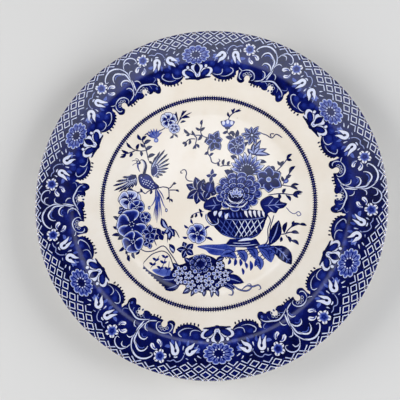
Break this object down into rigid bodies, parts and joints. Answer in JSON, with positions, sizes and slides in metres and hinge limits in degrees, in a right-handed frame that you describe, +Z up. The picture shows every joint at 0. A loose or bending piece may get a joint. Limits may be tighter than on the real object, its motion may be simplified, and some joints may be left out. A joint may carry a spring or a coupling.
{
  "type": "dinner plate",
  "caption": "Round glazed earthenware dinner plate with a flat well, a sloped shoulder, a wide rim, a foot ring and a blue printed border, line ring and centre picture.",
  "frame": {"origin": "centre of the foot ring, on the surface that the plate stands on", "axes": "+Z up, square to the well and out of the plate's face; +Y towards the top of the centre picture"},
  "size_m": [0.25, 0.25, 0.023],
  "materials": {
    "fired_clay": "bare fired earthenware, cream, fine matt",
    "cobalt_print": "cobalt blue underglaze print",
    "clear_glaze": "clear glossy glaze over warm cream clay"
  },
  "bodies": {
    "root": {"plate_body": "fired_clay", "border_print": "cobalt_print", "line_print": "cobalt_print", "centre_print": "cobalt_print", "glaze_coat": "clear_glaze", "foot_recess_glaze": "clear_glaze"}
  },
  "joints": []
}
